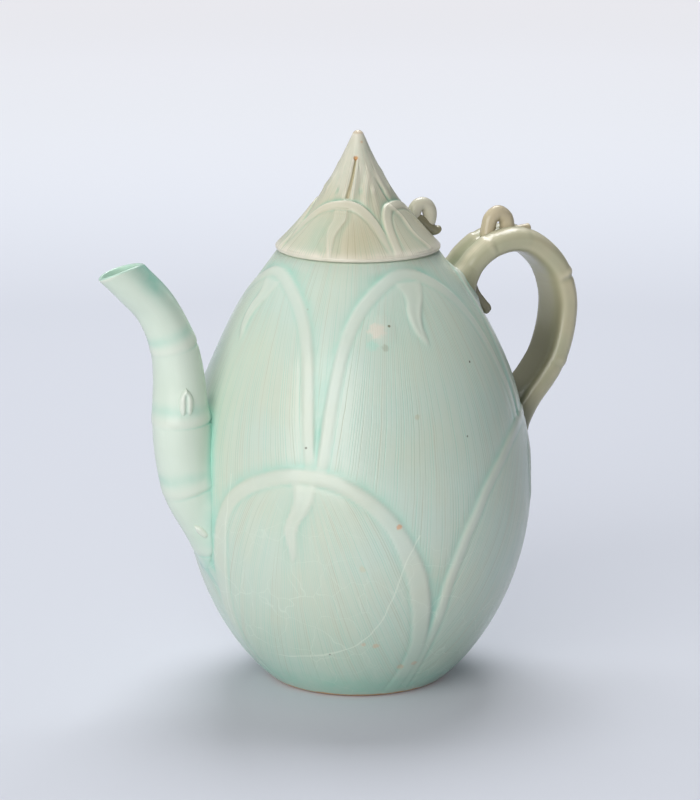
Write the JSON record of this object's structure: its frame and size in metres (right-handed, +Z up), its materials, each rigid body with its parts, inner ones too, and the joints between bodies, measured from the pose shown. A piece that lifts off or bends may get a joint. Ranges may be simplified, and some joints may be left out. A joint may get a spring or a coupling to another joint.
{
  "type": "ewer",
  "caption": "Glazed egg-shaped ewer in bamboo-shoot form, with a bamboo-stalk spout, a split-cane strap handle and a lift-off conical lid with cord loops.",
  "frame": {"origin": "centre of the flat base, on the axis of the vessel", "axes": "+Z up along the axis of the vessel, -X towards the spout, +X towards the handle"},
  "size_m": [0.2188, 0.1499, 0.2373],
  "materials": {
    "body_glaze": "glossy blue-green celadon glaze over carved stoneware",
    "spout_glaze": "glossy pale celadon glaze",
    "handle_glaze": "glossy olive celadon glaze, browner where the kiln oxidised it",
    "loop_glaze": "thin buff celadon glaze",
    "lid_glaze": "glossy grey-green celadon glaze"
  },
  "bodies": {
    "vessel": {"body": "body_glaze", "spout": "spout_glaze", "spout_bud_upper": "spout_glaze", "spout_bud_lower": "spout_glaze", "handle": "handle_glaze", "handle_tongue": "handle_glaze", "handle_loop": "loop_glaze", "handle_loop_tail": "loop_glaze"},
    "lid": {"lid": "lid_glaze", "lid_flange": "lid_glaze", "lid_loop": "loop_glaze", "lid_loop_tail": "loop_glaze"}
  },
  "joints": [
    {"name": "lid_lift", "type": "slide", "parent": "vessel", "child": "lid", "axis": [0, 0, 1], "range_m": [0, 0.05]}
  ]
}
